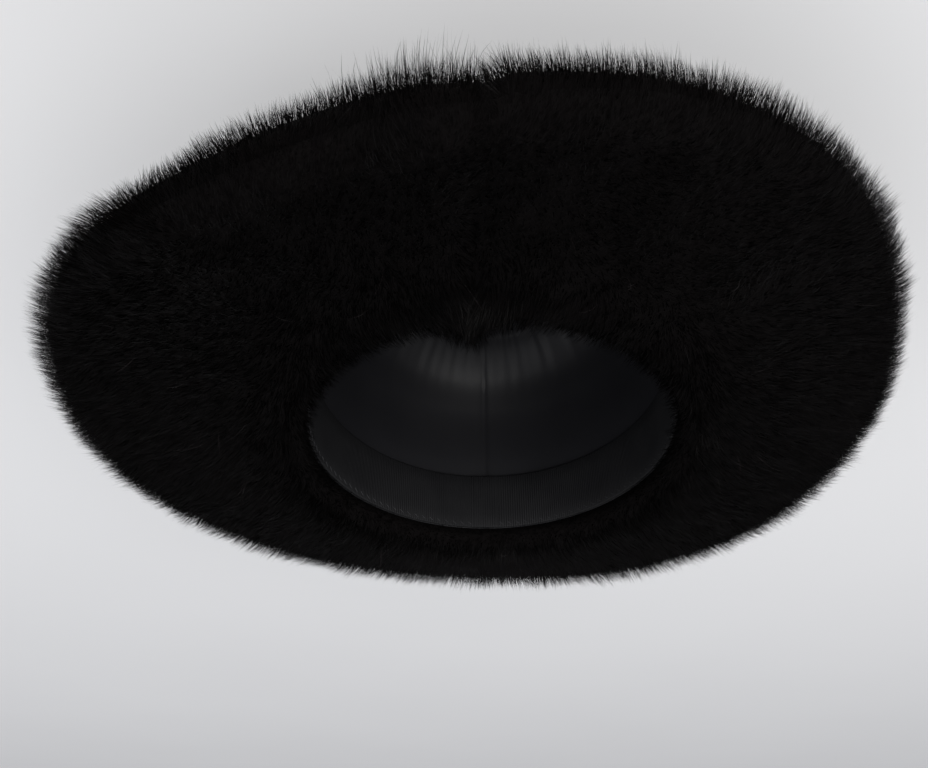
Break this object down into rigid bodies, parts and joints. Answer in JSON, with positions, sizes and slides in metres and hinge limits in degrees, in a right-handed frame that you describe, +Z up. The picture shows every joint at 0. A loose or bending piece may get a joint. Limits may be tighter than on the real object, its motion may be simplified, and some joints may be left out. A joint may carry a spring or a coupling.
{
  "type": "wide-brimmed fur hat",
  "caption": "Wide-brimmed hat of deep black fur, lying on its crown: hollow round crown with a flat tip, thick waved brim furred on both faces, satin lining and ribbon sweatband.",
  "frame": {"origin": "middle of the crown's flat tip, on the surface that the hat lies on", "axes": "+Z up, out of the head opening; front of the hat towards -Y; the wearer's right towards +X"},
  "size_m": [0.368, 0.4046, 0.1526],
  "materials": {
    "facing_fur": "deep black fur of the brim's underside, soft sheen",
    "fur": "deep black fur, soft sheen on the guard hairs",
    "satin_lining": "woven black satin, slightly glossy",
    "ribbon": "ribbed black ribbon, matt"
  },
  "bodies": {
    "root": {"brim_facing_fur": "facing_fur", "brim_upper_fur": "fur", "crown_fur": "fur", "crown_lining": "satin_lining", "sweatband": "ribbon"}
  },
  "joints": []
}
